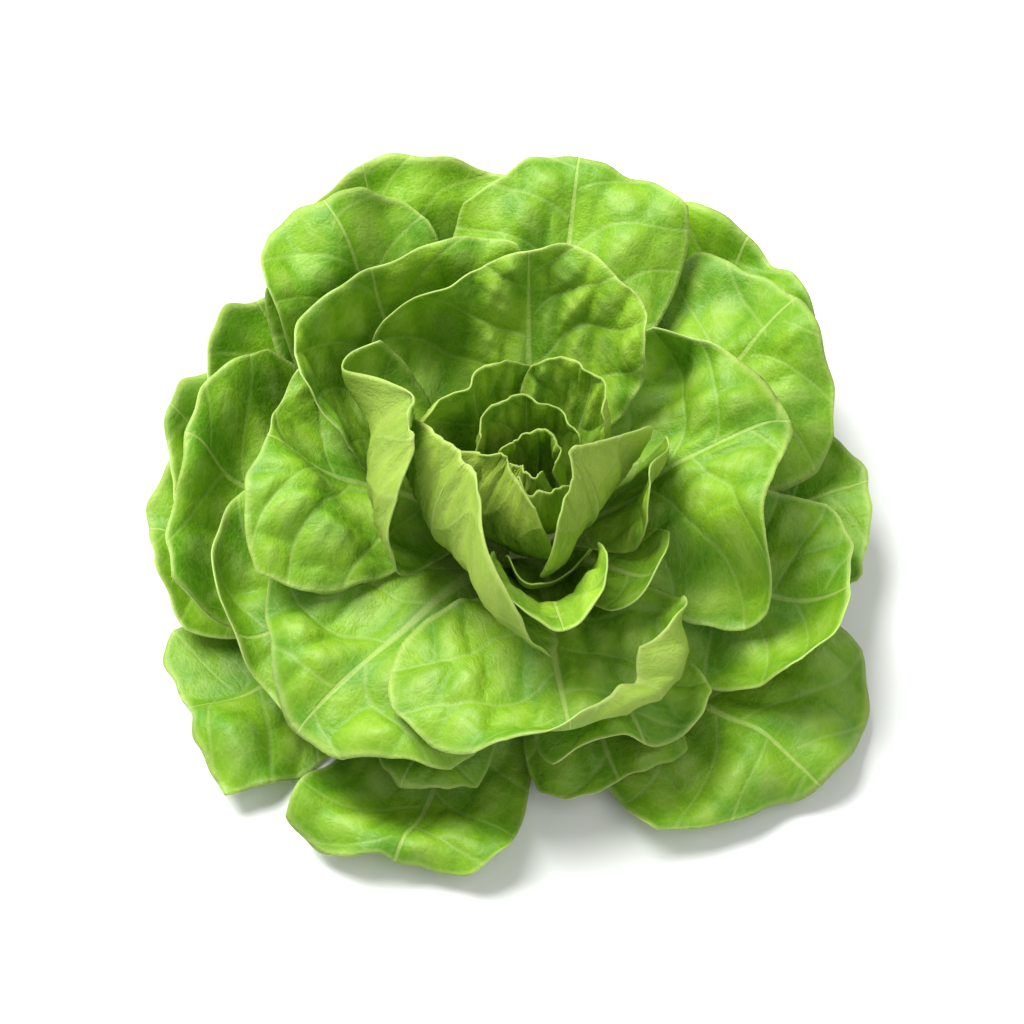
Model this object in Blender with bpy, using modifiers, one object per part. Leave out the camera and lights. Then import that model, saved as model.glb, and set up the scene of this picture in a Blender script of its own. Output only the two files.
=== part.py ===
"""A head of butterhead lettuce, cut and standing on its stem.

Sizes are in millimetres and angles in degrees; MM turns a size into Blender's metres.
Every leaf grows from the crown, the rounded top of the stem, so each point of a leaf is
placed by three numbers: its distance from the crown's centre, its azimuth round the upright
axis, and its lean away from that axis. The leaves are laid from the heart outwards, and each
one is pushed out until it clears the leaves inside it.
"""

import math
from collections import namedtuple

import bmesh
import bpy
import numpy as np

MM = 0.001
TURN = 2.0 * math.pi

# The stem: a short round stump under a domed crown
CROWN_HEIGHT = 24.0  # the crown's centre, above the cut face that the head stands on
CROWN_RADIUS = 15.5
DOME_SPAN = 115.0  # how far the dome goes down its sides, in degrees from the top
NECK_RADIUS = 12.5
NECK_DROP = 0.75  # from the crown's centre down to the neck, in crown radii
STEM_RADIUS = 14.5
CUT_EDGE = 1.0
STEM_SIDES = 28
DOME_RINGS = 7

# The leaf blade
FOOT_GAP = 1.4  # between the crown and the middle of a leaf's foot; its corners come nearer
BLADE_THICKNESS = 0.8
RIB_THICKNESS = 1.3  # what the midrib adds at the foot of an outer leaf
RIB_HALF_WIDTH = 5.0
FOOT_SPREAD = 30.0  # half of a leaf's azimuth where it clasps the crown
WIDEST_AT = 0.55  # share of the leaf's length at which it is widest
ROUNDNESS = 0.7  # of the outline above the widest place: 0 is square, 1 an ellipse
RIM_CENTRE = 0.35  # how far below the widest place the directions of the rim meet, in half heights
RIM_POWER = 3.2  # of the rounded square that fits the outline above the widest place
FULL_RIB_REACH = 110.0  # a leaf at least this long has the full midrib
RIB_TAPER = 1.3  # power at which the midrib thins towards the tip
BILLOW_ACROSS = 42.0  # from one swelling of the blade to the next, sideways
BILLOW_SLANT = 150.0  # length along the leaf in which the swellings shift by one to the side
BILLOW_ALONG = 54.0  # from one swelling to the next, along the leaf
BILLOW_SHARE = 0.9  # height of a swelling, as a share of the rim's ruffle
BILLOW_START = 0.5  # share of the length by which the swellings have their full height
RIM_START = 0.6  # the same for the ruffles and the curl of the rim
FOLD_SHARPNESS = 8  # power at which a fold grows towards the rim
FLAP_RADIUS = 3.0  # of the bend where a part of the rim is turned over
RAGGED = 0.035  # how much the outline wanders, as a share of the leaf's length
PHASES = (1.3, 2.1, 2.4, 4.1, 1.9, 2.3)  # turn each leaf's shape number into starts of its waves
INNERMOST_FOOT_LEAN = 12.0
OUTERMOST_FOOT_LEAN = 92.0

# The clear space kept between one leaf and the next
FOOT_CLEARANCE = 0.7
RIM_CLEARANCE = 2.4
CLEARANCE_LENGTH = 70.0  # distance over which the first grows into the second
CLEARANCE_START = 0.3  # share of that length where it starts to grow
FLOOR_CLEARANCE = 0.5
OUTLINE_MARGIN = 0.1  # a leaf makes room a little past its own rim, in half widths
FOOT_MARGIN = 0.08
PUSH_MARGIN = 0.35  # and is pushed out as a whole this far past it
FOOT_PUSH_MARGIN = 8.0

# The chart that the leaves are laid out on: rows of distance, columns of azimuth
CHART_DISTANCES = np.arange(CROWN_RADIUS, 152.0, 2.0)
CHART_AZIMUTHS = np.arange(0.0, 360.0, 2.0)
EASE_ROWS = 4
EASE_COLUMNS = 5

# shape: a number of its own, from which its waves start. azimuth: where the tip points. lean: of
# the rim, at the tip. reach: from the crown's centre to the tip. spread: half the leaf's azimuth
# at its widest. low, high: what the lean changes by at the edges of lower and higher azimuth.
# belly: outward bulge half way up. curl: what the lean changes by along the rim. wave: height of
# the rim's ruffle. waves: how many ruffles go round it. dents: places where the blade is bent in
# or out, each (place across, place along, half width, half height, degrees). lobes: places where
# the rim reaches further or less far, each (degrees round the rim from the tip, half width,
# share of the leaf's length). folds: places where the rim leans in or out, each (degrees round the
# rim from the tip, half width, degrees of lean). flaps: places where the rim is turned over onto
# the blade, each (degrees round the rim from the tip, half width, how near the rim it starts,
# degrees that it is turned by).
Leaf = namedtuple(
    "Leaf",
    "shape azimuth lean reach spread low high belly curl wave waves dents lobes folds flaps",
    defaults=(0, 0, 6, 0, 3.0, 5, (), (), (), ()),
)

HEART_LEAVES = [
    Leaf(0, 250, 4, 58, 100, belly=5, wave=1.5),
    Leaf(1, 75, 8, 60, 92, belly=6, wave=1.5),
    Leaf(2, 268, 8, 59, 80, 6, 6, belly=9, wave=1.5),
    Leaf(3, 92, 15, 67, 82, -3, -3, belly=8, wave=1.2, waves=3),
    Leaf(4, 222, 9, 70, 66, 16, 9, belly=14, wave=1.0, waves=3),
    Leaf(5, 50, 22, 79, 48, -8, -2, belly=6, wave=1.2),
    Leaf(6, -30, 10, 78, 54, 14, 24, belly=14, wave=1.0, waves=3),
    Leaf(7, 126, 22, 75, 48, belly=8, wave=1.2),
    Leaf(40, 284, 18, 49, 36, belly=6, wave=0.8),
    Leaf(8, 280, 45, 78, 32, -16, -16, belly=0, wave=0.6, lobes=((48, 22, -0.02), (-10, 16, 0.05))),
    Leaf(9, -2, 30, 69, 27, 8, 0, belly=12, wave=1.0, lobes=((-55, 25, -0.12),)),
    Leaf(10, 213, 16, 84, 68, 17, 27, belly=18, wave=1.0, waves=3),
    Leaf(11, 170, 22, 88, 44, 16, 0, belly=30, wave=1.0, waves=3, dents=((-0.6, 1.0, 0.3, 0.3, 26),)),
]

INNER_LEAVES = [
    Leaf(12, 90, 38, 102, 48, -8, -10, belly=10, curl=3, wave=2.5, waves=6,
         lobes=((50, 28, -0.11), (-48, 25, -0.08))),
    Leaf(13, 125, 51, 107, 40, -4, -10, belly=6, curl=4, wave=3.0, lobes=((50, 28, -0.09),)),
    Leaf(41, -36, 52, 60, 27, belly=4, wave=1.5),
    Leaf(15, 279, 70, 88, 51, -4, 0, belly=2, curl=5, wave=3.5, waves=4,
         lobes=((-50, 24, -0.03), (28, 34, 0.08), (62, 20, -0.06)), flaps=((24, 28, 0.74, 150),)),
    Leaf(14, 15, 53, 91, 47, 2, -8, belly=4, curl=3, wave=3.0, dents=((0.66, 0.76, 0.2, 0.16, 12),),
         lobes=((-62, 26, -0.19), (-28, 14, 0.02))),
    Leaf(16, 167, 59, 97, 36, -3, 14, belly=2, curl=3, wave=3.5),
    Leaf(17, 223, 78, 94, 38, -8, 0, belly=0, curl=5, wave=3.5, lobes=((45, 25, -0.05),)),
    Leaf(18, 200, 82, 98, 36, -10, 6, belly=0, curl=-4, wave=3.0, folds=((-62, 14, -8), (-35, 12, 5))),
]

OUTER_LEAVES = [
    Leaf(19, -64, 75, 84, 26, 2, -4, curl=2, wave=3.0, lobes=((-60, 25, -0.06),)),
    Leaf(20, 244, 90, 87, 18, curl=3, wave=3.0, lobes=((50, 25, -0.06),)),
    Leaf(21, -14, 82, 104, 25, curl=-4, wave=4.0),
    Leaf(22, 82, 62, 133, 24, curl=4, wave=4.0, lobes=((28, 22, -0.04), (-50, 25, -0.06))),
    Leaf(23, 39, 66, 118, 27, 4, 0, curl=4, wave=3.5),
    Leaf(24, 124, 61, 130, 21, curl=3, wave=4.0, lobes=((-50, 28, -0.06),)),
    Leaf(25, 12, 80, 111, 24, curl=3, wave=5.0, lobes=((-60, 25, -0.06),)),
    Leaf(26, 167, 72, 118, 29, -5, 6, curl=3, wave=4.0),
    Leaf(27, 55, 70, 128, 24, curl=4, wave=4.0, lobes=((32, 25, -0.04),)),
    Leaf(28, 114, 64, 136, 28, curl=4, wave=4.0),
    Leaf(29, -70, 93, 85, 22, curl=2, wave=3.0),
    Leaf(30, 136, 72, 124, 24, curl=3, wave=4.0, lobes=((45, 25, -0.04),)),
    Leaf(31, 157, 76, 122, 26, curl=3, wave=4.0),
    Leaf(32, 248, 95, 116, 23, belly=-2, curl=3, wave=4.0, dents=((-0.9, 0.6, 0.5, 0.5, -8),),
         lobes=((58, 32, -0.17), (-40, 22, 0.06))),
    Leaf(33, -40, 95, 118, 33, belly=-2, curl=3, wave=4.0, lobes=((-60, 30, -0.15), (40, 25, 0.01))),
    Leaf(34, 172, 80, 121, 23, curl=3, wave=4.0),
    Leaf(35, 204, 92, 122, 20, belly=-2, curl=3, wave=4.0, lobes=((55, 28, 0.22),)),
    Leaf(36, 90, 97, 108, 23, belly=-2, curl=3, wave=3.0),
    Leaf(37, 46, 97, 106, 21, belly=-2, curl=3, wave=3.0),
    Leaf(38, 4, 97, 100, 20, belly=-2, curl=3, wave=3.0),
    Leaf(39, 124, 97, 88, 16, belly=-2, curl=3, wave=3.0),
]

# The name of the group, which its material has too, its leaves, and cells along and across a leaf
GROUPS = [
    ("heart_leaf", HEART_LEAVES, 6, 8),
    ("inner_leaf", INNER_LEAVES, 11, 15),
    ("outer_leaf", OUTER_LEAVES, 7, 10),
]
LEAVES = [leaf for _, leaves, _, _ in GROUPS for leaf in leaves]

COLOURS = {
    "heart_leaf": (0.38, 0.50, 0.09),
    "inner_leaf": (0.23, 0.42, 0.05),
    "outer_leaf": (0.20, 0.40, 0.03),
    "stem": (0.72, 0.74, 0.48),
}
LEAF_ROUGHNESS = 0.42
STEM_ROUGHNESS = 0.6


def smooth_step(x):
    x = np.clip(x, 0.0, 1.0)
    return x * x * (3.0 - 2.0 * x)


def height_share(along):
    """-1 at the leaf's foot, 0 where it is widest, 1 at its tip."""
    above = (along - WIDEST_AT) / (1.0 - WIDEST_AT)
    below = (along - WIDEST_AT) / WIDEST_AT
    return np.where(along > WIDEST_AT, above, below)


def half_width(leaf, along):
    """The outline below the widest place, as a share of the leaf's spread."""
    foot = FOOT_SPREAD / leaf.spread
    return foot + (1.0 - foot) * smooth_step(along / WIDEST_AT)


def rib(leaf, across, along):
    """How far the midrib stands out of the blade's outer face."""
    distance = CROWN_RADIUS + (leaf.reach - CROWN_RADIUS) * along
    off_centre = across * np.radians(leaf.spread) * distance / RIB_HALF_WIDTH
    height = RIB_THICKNESS * min(1.0, leaf.reach / FULL_RIB_REACH)
    height = height * (1.0 - np.clip(along, 0.0, 1.0)) ** RIB_TAPER
    return height * np.exp(-(off_centre**2))


def place_on_rim(across, along):
    """Which way a point lies from the blade's middle, 0 towards the tip, and how near the rim."""
    up = height_share(along)
    nearness = (np.abs(across) ** RIM_POWER + np.maximum(up, 0.0) ** RIM_POWER) ** (1.0 / RIM_POWER)
    return np.arctan2(across, up + RIM_CENTRE), nearness


def wished_lean(leaf, rank, across, along):
    """A leaf's lean before it meets the others. across is -1 to 1, along 0 to 1 at the tip."""
    direction, nearness = place_on_rim(across, along)
    nearness = np.minimum(nearness, 1.0 + OUTLINE_MARGIN)
    billow_phase, cross_phase, ruffle_phase, fine_phase = [phase * leaf.shape for phase in PHASES[:4]]
    upward = np.clip(along, 0.0, 1.0)
    foot = INNERMOST_FOOT_LEAN
    foot += (OUTERMOST_FOOT_LEAN - INNERMOST_FOOT_LEAN) * rank / (len(LEAVES) - 1)
    edge = np.where(across < 0.0, leaf.low, leaf.high) * np.clip(across, -1.0, 1.0) ** 2
    lean = foot + (leaf.lean + edge - foot) * np.sin(np.pi / 2 * upward)
    lean = lean + leaf.belly * np.sin(np.pi * upward)

    distance = CROWN_RADIUS + (leaf.reach - CROWN_RADIUS) * along
    sideways = np.radians(across * leaf.spread) * distance
    billow = np.sin(TURN * (sideways / BILLOW_ACROSS + distance / BILLOW_SLANT) + billow_phase)
    billow = billow * np.sin(TURN * distance / BILLOW_ALONG + cross_phase)
    billow = BILLOW_SHARE * billow * smooth_step(along / BILLOW_START)
    ruffle = np.sin(direction * leaf.waves + ruffle_phase)
    ruffle = ruffle + 0.5 * np.sin(direction * (leaf.waves + 3) + fine_phase)
    rim = smooth_step(along / RIM_START)
    lean = lean + np.degrees(leaf.wave / leaf.reach) * (billow + ruffle * nearness**3 * rim)
    lean = lean + leaf.curl * nearness**5 * rim
    for side, height, half_side, half_height, depth in leaf.dents:
        off = ((across - side) / half_side) ** 2 + ((along - height) / half_height) ** 2
        lean = lean + depth * np.exp(-off)
    return lean


def folded(leaf, across, along):
    """What the folds of the rim add to the lean."""
    direction, nearness = place_on_rim(across, along)
    depth = 0.0
    for middle, half_width_round, degrees in leaf.folds:
        depth = depth + degrees * np.exp(-(((np.degrees(direction) - middle) / half_width_round) ** 2))
    return depth * np.minimum(nearness, 1.0 + OUTLINE_MARGIN) ** FOLD_SHARPNESS


def turned_over(leaf, across, along):
    """Where a point of a flap lies on the blade, and how high above it: across, along, height."""
    height = 0.0
    for middle, half_width_round, start, degrees in leaf.flaps:
        direction, nearness = place_on_rim(across, along)
        distance = CROWN_RADIUS + (leaf.reach - CROWN_RADIUS) * along
        up = height_share(along)
        sideways = np.radians(across * leaf.spread) * distance
        upwards = np.maximum(up, 0.0) * (leaf.reach - CROWN_RADIUS) * (1.0 - WIDEST_AT)
        from_middle = np.hypot(sideways, upwards)
        past = from_middle * (1.0 - start / np.maximum(nearness, start))
        turn = np.radians(degrees) * np.exp(-(((np.degrees(direction) - middle) / half_width_round) ** 2))
        bent = np.minimum(past / FLAP_RADIUS, turn)
        straight = past - bent * FLAP_RADIUS
        out = FLAP_RADIUS * np.sin(bent) + straight * np.cos(bent)
        height = height + FLAP_RADIUS * (1.0 - np.cos(bent)) + straight * np.sin(bent)
        share = 1.0 + (out - past) / np.maximum(from_middle, FLAP_RADIUS)
        across = across * share
        along = np.where(up > 0.0, WIDEST_AT + (along - WIDEST_AT) * share, along)
    return across, along, height


def spread_out(need):
    """A smooth field that is nowhere less than need: its highest neighbours, averaged."""
    rows, columns = EASE_ROWS, EASE_COLUMNS
    high = np.pad(need, ((rows, rows), (0, 0)), mode="edge")
    high = np.max([high[i : i + len(need)] for i in range(2 * rows + 1)], axis=0)
    high = np.max([np.roll(high, i, axis=1) for i in range(-columns, columns + 1)], axis=0)
    for _ in range(2):
        r, c = rows // 2, columns // 2
        wide = np.pad(high, ((r, r), (0, 0)), mode="edge")
        high = np.mean([wide[i : i + len(need)] for i in range(2 * r + 1)], axis=0)
        high = np.mean([np.roll(high, i, axis=1) for i in range(-c, c + 1)], axis=0)
    return high


def clearance(distance):
    """The clear space between one leaf and the next, at a distance from the crown's centre."""
    grown = smooth_step(distance / CLEARANCE_LENGTH - CLEARANCE_START)
    return FOOT_CLEARANCE + (RIM_CLEARANCE - FOOT_CLEARANCE) * grown


def lay_out(leaves):
    """For each leaf, from the heart outwards, the chart of how far its lean is pushed out."""
    distance, azimuth = np.meshgrid(CHART_DISTANCES, CHART_AZIMUTHS, indexing="ij")
    taken = np.full(distance.shape, -90.0)
    pushes = []
    for rank, leaf in enumerate(leaves):
        turn = (azimuth - leaf.azimuth + 180.0) % 360.0 - 180.0
        across = turn / leaf.spread
        along = (distance - CROWN_RADIUS) / (leaf.reach - CROWN_RADIUS)
        widest = max((1.0 + PUSH_MARGIN) * leaf.spread, FOOT_SPREAD + FOOT_PUSH_MARGIN)
        near = (np.abs(turn) < widest) & (along < 1.0 + PUSH_MARGIN / 2.0)
        lean = wished_lean(leaf, rank, across, along)
        push = spread_out(np.where(near, np.maximum(taken - lean, 0.0), 0.0))
        pushes.append(push)
        lean = lean + push + folded(leaf, across, along)
        inside = np.where(
            along > WIDEST_AT,
            place_on_rim(across, along)[1] < 1.0 + OUTLINE_MARGIN,
            np.abs(across) < half_width(leaf, along) + FOOT_MARGIN,
        )
        room = BLADE_THICKNESS + rib(leaf, across, along) + clearance(distance)
        outer_face = lean + np.degrees(room / distance)
        taken = np.where(inside & near, np.maximum(taken, outer_face), taken)
    return pushes


def read_chart(chart, distance, azimuth):
    """The chart's value between its rows and columns."""
    row = (distance - CHART_DISTANCES[0]) / (CHART_DISTANCES[1] - CHART_DISTANCES[0])
    row = np.clip(row, 0.0, len(CHART_DISTANCES) - 1.001)
    column = (azimuth % 360.0) / (CHART_AZIMUTHS[1] - CHART_AZIMUTHS[0])
    i, j = np.floor(row).astype(int), np.floor(column).astype(int)
    a, b = row - i, column - j
    j, after = j % len(CHART_AZIMUTHS), (j + 1) % len(CHART_AZIMUTHS)
    low = chart[i, j] * (1 - b) + chart[i, after] * b
    high = chart[i + 1, j] * (1 - b) + chart[i + 1, after] * b
    return low * (1 - a) + high * a


def wandering(leaf, across, along):
    """What the outline multiplies the height by: nothing inside, most at the rim."""
    direction, nearness = place_on_rim(across, along)
    wander = np.sin(3.0 * direction + PHASES[4] * leaf.shape)
    wander = RAGGED * (wander + 0.7 * np.sin(7.0 * direction + PHASES[5] * leaf.shape))
    for middle, half_width_round, share in leaf.lobes:
        wander = wander + share * np.exp(-(((np.degrees(direction) - middle) / half_width_round) ** 2))
    return 1.0 + wander * nearness**3 * smooth_step(along / BILLOW_START)


def leaf_points(leaf, rank, push, s, t):
    """Points of the blade's inner face for a square of (s, t), each from -1 to 1."""
    up = np.where(t > 0.0, t * np.sqrt(1.0 - ROUNDNESS * s**2 / 2.0), t)
    along = np.where(t > 0.0, WIDEST_AT + (1.0 - WIDEST_AT) * up, WIDEST_AT * (1.0 + t))
    across = s * np.where(t > 0.0, np.sqrt(1.0 - ROUNDNESS * t**2 / 2.0), half_width(leaf, along))
    along = along * wandering(leaf, across, along)
    across, along, height = turned_over(leaf, across, along)
    distance = CROWN_RADIUS + FOOT_GAP + (leaf.reach - CROWN_RADIUS) * along
    azimuth = leaf.azimuth + leaf.spread * across
    lean = wished_lean(leaf, rank, across, along) + read_chart(push, distance, azimuth)
    lean = lean + folded(leaf, across, along) - np.degrees(height / distance)
    lowest = CROWN_HEIGHT - FLOOR_CLEARANCE - BLADE_THICKNESS
    floor_lean = 90.0 + np.degrees(np.arcsin(np.clip(lowest / distance, 0.0, 1.0)))
    lean = np.radians(np.minimum(lean, floor_lean))
    turn = np.radians(azimuth)
    x = distance * np.sin(lean) * np.cos(turn)
    y = distance * np.sin(lean) * np.sin(turn)
    z = CROWN_HEIGHT + distance * np.cos(lean)
    return np.stack([x, y, z], axis=1) * MM, across, along


def make_leaf(name, leaf, rank, push, cells_along, cells_across, material):
    """One blade: a grid bent to the leaf's shape, thickened outwards by Solidify."""
    sheet = bmesh.new()
    bmesh.ops.create_grid(sheet, x_segments=cells_across, y_segments=cells_along, size=1.0)
    square = np.array([vertex.co[:2] for vertex in sheet.verts])
    points, across, along = leaf_points(leaf, rank, push, square[:, 0], square[:, 1])
    for vertex, point in zip(sheet.verts, points):
        vertex.co = point
    bmesh.ops.triangulate(sheet, faces=sheet.faces, quad_method="SHORT_EDGE")
    mesh = bpy.data.meshes.new(name)
    sheet.to_mesh(mesh)
    sheet.free()
    mesh.shade_smooth()
    mesh.materials.append(material)
    blade = bpy.data.objects.new(name, mesh)

    thickest = BLADE_THICKNESS + RIB_THICKNESS
    thickness = BLADE_THICKNESS + rib(leaf, across, along)
    group = blade.vertex_groups.new(name="thickness")
    for index, value in enumerate(thickness / thickest):
        group.add([index], float(value), "REPLACE")
    solid = blade.modifiers.new("Thickness", "SOLIDIFY")
    solid.thickness = thickest * MM
    solid.offset = 1.0
    solid.vertex_group = group.name
    return blade


def make_stem(material):
    """The stump: its outline from the crown's top down to the cut face, turned by Screw."""
    outline = []
    for ring in range(DOME_RINGS + 1):
        turn = math.radians(DOME_SPAN) * ring / DOME_RINGS
        outline.append((CROWN_RADIUS * math.sin(turn), CROWN_HEIGHT + CROWN_RADIUS * math.cos(turn)))
    outline.append((NECK_RADIUS, CROWN_HEIGHT - NECK_DROP * CROWN_RADIUS))
    outline.append((STEM_RADIUS, CUT_EDGE))
    outline.append((STEM_RADIUS - CUT_EDGE, 0.0))
    outline.append((0.0, 0.0))
    mesh = bpy.data.meshes.new("stem")
    points = [(x * MM, 0.0, z * MM) for x, z in outline]
    mesh.from_pydata(points, [(i, i + 1) for i in range(len(points) - 1)], [])
    mesh.materials.append(material)
    stem = bpy.data.objects.new("stem", mesh)
    turned = stem.modifiers.new("Turned", "SCREW")
    turned.steps = turned.render_steps = STEM_SIDES
    turned.use_merge_vertices = True
    turned.merge_threshold = 0.0001
    return stem


def make_material(name, colour, roughness):
    material = bpy.data.materials.new(name)
    material.use_nodes = True
    shader = material.node_tree.nodes["Principled BSDF"]
    shader.inputs["Base Color"].default_value = (*colour, 1.0)
    shader.inputs["Roughness"].default_value = roughness
    return material


def main():
    for obj in list(bpy.data.objects):
        bpy.data.objects.remove(obj)
    head = bpy.data.collections.new("lettuce")
    bpy.context.scene.collection.children.link(head)
    head.objects.link(make_stem(make_material("stem", COLOURS["stem"], STEM_ROUGHNESS)))
    pushes = lay_out(LEAVES)
    rank = 0
    for group, leaves, cells_along, cells_across in GROUPS:
        material = make_material(group, COLOURS[group], LEAF_ROUGHNESS)
        for number, leaf in enumerate(leaves, start=1):
            name = f"{group}_{number:02d}"
            blade = make_leaf(name, leaf, rank, pushes[rank], cells_along, cells_across, material)
            head.objects.link(blade)
            rank += 1


main()
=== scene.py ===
# %% [markdown]
# # A head of butterhead lettuce
#
# The object is one cut head of lettuce that stands on its stem. Its plain model has a thin
# closed blade for every leaf and a stump for the stem. This script gives each leaf the finer
# form of a real one (blisters between the veins, a sunken midrib, a frilled rim) and the
# colours and gloss of living leaf, and sets the head on a white table in soft light.
#
# Sizes are in millimetres and angles in degrees; MM turns a size into Blender's metres.

# %% Load the plain model
import math
from collections import namedtuple

import bmesh
import bpy
import numpy as np
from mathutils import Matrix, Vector


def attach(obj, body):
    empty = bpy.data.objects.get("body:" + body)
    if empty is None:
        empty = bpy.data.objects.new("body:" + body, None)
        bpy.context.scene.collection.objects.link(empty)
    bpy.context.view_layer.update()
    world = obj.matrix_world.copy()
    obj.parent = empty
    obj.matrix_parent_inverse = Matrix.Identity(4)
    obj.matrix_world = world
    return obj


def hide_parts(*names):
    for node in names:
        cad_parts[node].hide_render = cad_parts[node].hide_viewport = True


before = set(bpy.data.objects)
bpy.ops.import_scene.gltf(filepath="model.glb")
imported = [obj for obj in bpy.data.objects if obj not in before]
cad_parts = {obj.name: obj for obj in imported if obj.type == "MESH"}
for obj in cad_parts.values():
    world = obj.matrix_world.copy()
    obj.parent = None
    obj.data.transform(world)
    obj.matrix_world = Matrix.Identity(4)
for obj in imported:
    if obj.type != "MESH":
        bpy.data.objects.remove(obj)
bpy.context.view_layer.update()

MM = 0.001
TURN = 2.0 * math.pi

# %% [markdown]
# ## How a leaf is placed
#
# All leaves grow from the crown, the rounded top of the stem. So a point of a leaf has three
# numbers: its distance from the crown's centre, its azimuth round the upright axis, and its
# lean away from that axis. A leaf could also be modelled flat and bent with a lattice, but
# these numbers keep the foot of every leaf on the crown and keep the leaves in their order.
# The plain model uses the same table, so a finer leaf made from it lies where the plain one is.

# %% The leaves, from the heart outwards (millimetres and degrees)
Leaf = namedtuple(
    "Leaf",
    "shape azimuth lean reach spread low high belly curl wave waves dents lobes folds flaps",
    defaults=(0, 0, 6, 0, 3.0, 5, (), (), (), ()),
)

HEART_LEAVES = [
    Leaf(0, 250, 4, 58, 100, belly=5, wave=1.5),
    Leaf(1, 75, 8, 60, 92, belly=6, wave=1.5),
    Leaf(2, 268, 8, 59, 80, 6, 6, belly=9, wave=1.5),
    Leaf(3, 92, 15, 67, 82, -3, -3, belly=8, wave=1.2, waves=3),
    Leaf(4, 222, 9, 70, 66, 16, 9, belly=14, wave=1.0, waves=3),
    Leaf(5, 50, 22, 79, 48, -8, -2, belly=6, wave=1.2),
    Leaf(6, -30, 10, 78, 54, 14, 24, belly=14, wave=1.0, waves=3),
    Leaf(7, 126, 22, 75, 48, belly=8, wave=1.2),
    Leaf(40, 284, 18, 49, 36, belly=6, wave=0.8),
    Leaf(8, 280, 45, 78, 32, -16, -16, belly=0, wave=0.6, lobes=((48, 22, -0.02), (-10, 16, 0.05))),
    Leaf(9, -2, 30, 69, 27, 8, 0, belly=12, wave=1.0, lobes=((-55, 25, -0.12),)),
    Leaf(10, 213, 16, 84, 68, 17, 27, belly=18, wave=1.0, waves=3),
    Leaf(11, 170, 22, 88, 44, 16, 0, belly=30, wave=1.0, waves=3, dents=((-0.6, 1.0, 0.3, 0.3, 26),)),
]

INNER_LEAVES = [
    Leaf(12, 90, 38, 102, 48, -8, -10, belly=10, curl=3, wave=2.5, waves=6,
         lobes=((50, 28, -0.11), (-48, 25, -0.08))),
    Leaf(13, 125, 51, 107, 40, -4, -10, belly=6, curl=4, wave=3.0, lobes=((50, 28, -0.09),)),
    Leaf(41, -36, 52, 60, 27, belly=4, wave=1.5),
    Leaf(15, 279, 70, 88, 51, -4, 0, belly=2, curl=5, wave=3.5, waves=4,
         lobes=((-50, 24, -0.03), (28, 34, 0.08), (62, 20, -0.06)), flaps=((24, 28, 0.74, 150),)),
    Leaf(14, 15, 53, 91, 47, 2, -8, belly=4, curl=3, wave=3.0, dents=((0.66, 0.76, 0.2, 0.16, 12),),
         lobes=((-62, 26, -0.19), (-28, 14, 0.02))),
    Leaf(16, 167, 59, 97, 36, -3, 14, belly=2, curl=3, wave=3.5),
    Leaf(17, 223, 78, 94, 38, -8, 0, belly=0, curl=5, wave=3.5, lobes=((45, 25, -0.05),)),
    Leaf(18, 200, 82, 98, 36, -10, 6, belly=0, curl=-4, wave=3.0, folds=((-62, 14, -8), (-35, 12, 5))),
]

OUTER_LEAVES = [
    Leaf(19, -64, 75, 84, 26, 2, -4, curl=2, wave=3.0, lobes=((-60, 25, -0.06),)),
    Leaf(20, 244, 90, 87, 18, curl=3, wave=3.0, lobes=((50, 25, -0.06),)),
    Leaf(21, -14, 82, 104, 25, curl=-4, wave=4.0),
    Leaf(22, 82, 62, 133, 24, curl=4, wave=4.0, lobes=((28, 22, -0.04), (-50, 25, -0.06))),
    Leaf(23, 39, 66, 118, 27, 4, 0, curl=4, wave=3.5),
    Leaf(24, 124, 61, 130, 21, curl=3, wave=4.0, lobes=((-50, 28, -0.06),)),
    Leaf(25, 12, 80, 111, 24, curl=3, wave=5.0, lobes=((-60, 25, -0.06),)),
    Leaf(26, 167, 72, 118, 29, -5, 6, curl=3, wave=4.0),
    Leaf(27, 55, 70, 128, 24, curl=4, wave=4.0, lobes=((32, 25, -0.04),)),
    Leaf(28, 114, 64, 136, 28, curl=4, wave=4.0),
    Leaf(29, -70, 93, 85, 22, curl=2, wave=3.0),
    Leaf(30, 136, 72, 124, 24, curl=3, wave=4.0, lobes=((45, 25, -0.04),)),
    Leaf(31, 157, 76, 122, 26, curl=3, wave=4.0),
    Leaf(32, 248, 95, 116, 23, belly=-2, curl=3, wave=4.0, dents=((-0.9, 0.6, 0.5, 0.5, -8),),
         lobes=((58, 32, -0.17), (-40, 22, 0.06))),
    Leaf(33, -40, 95, 118, 33, belly=-2, curl=3, wave=4.0, lobes=((-60, 30, -0.15), (40, 25, 0.01))),
    Leaf(34, 172, 80, 121, 23, curl=3, wave=4.0),
    Leaf(35, 204, 92, 122, 20, belly=-2, curl=3, wave=4.0, lobes=((55, 28, 0.22),)),
    Leaf(36, 90, 97, 108, 23, belly=-2, curl=3, wave=3.0),
    Leaf(37, 46, 97, 106, 21, belly=-2, curl=3, wave=3.0),
    Leaf(38, 4, 97, 100, 20, belly=-2, curl=3, wave=3.0),
    Leaf(39, 124, 97, 88, 16, belly=-2, curl=3, wave=3.0),
]
LEAVES = {"heart_leaf": HEART_LEAVES, "inner_leaf": INNER_LEAVES, "outer_leaf": OUTER_LEAVES}
ALL_LEAVES = [leaf for leaves in LEAVES.values() for leaf in leaves]
print("leaves:", {group: len(leaves) for group, leaves in LEAVES.items()})

# %% [markdown]
# These sizes are the plain model's own: the crown that the leaves grow from, the outline and
# thickness of a blade, its swellings and ruffles, and the room between one leaf and the next.
# They could stand in the formulas as bare numbers, but a named size can be changed in one
# place, and its name says what it does to the leaf.

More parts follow.
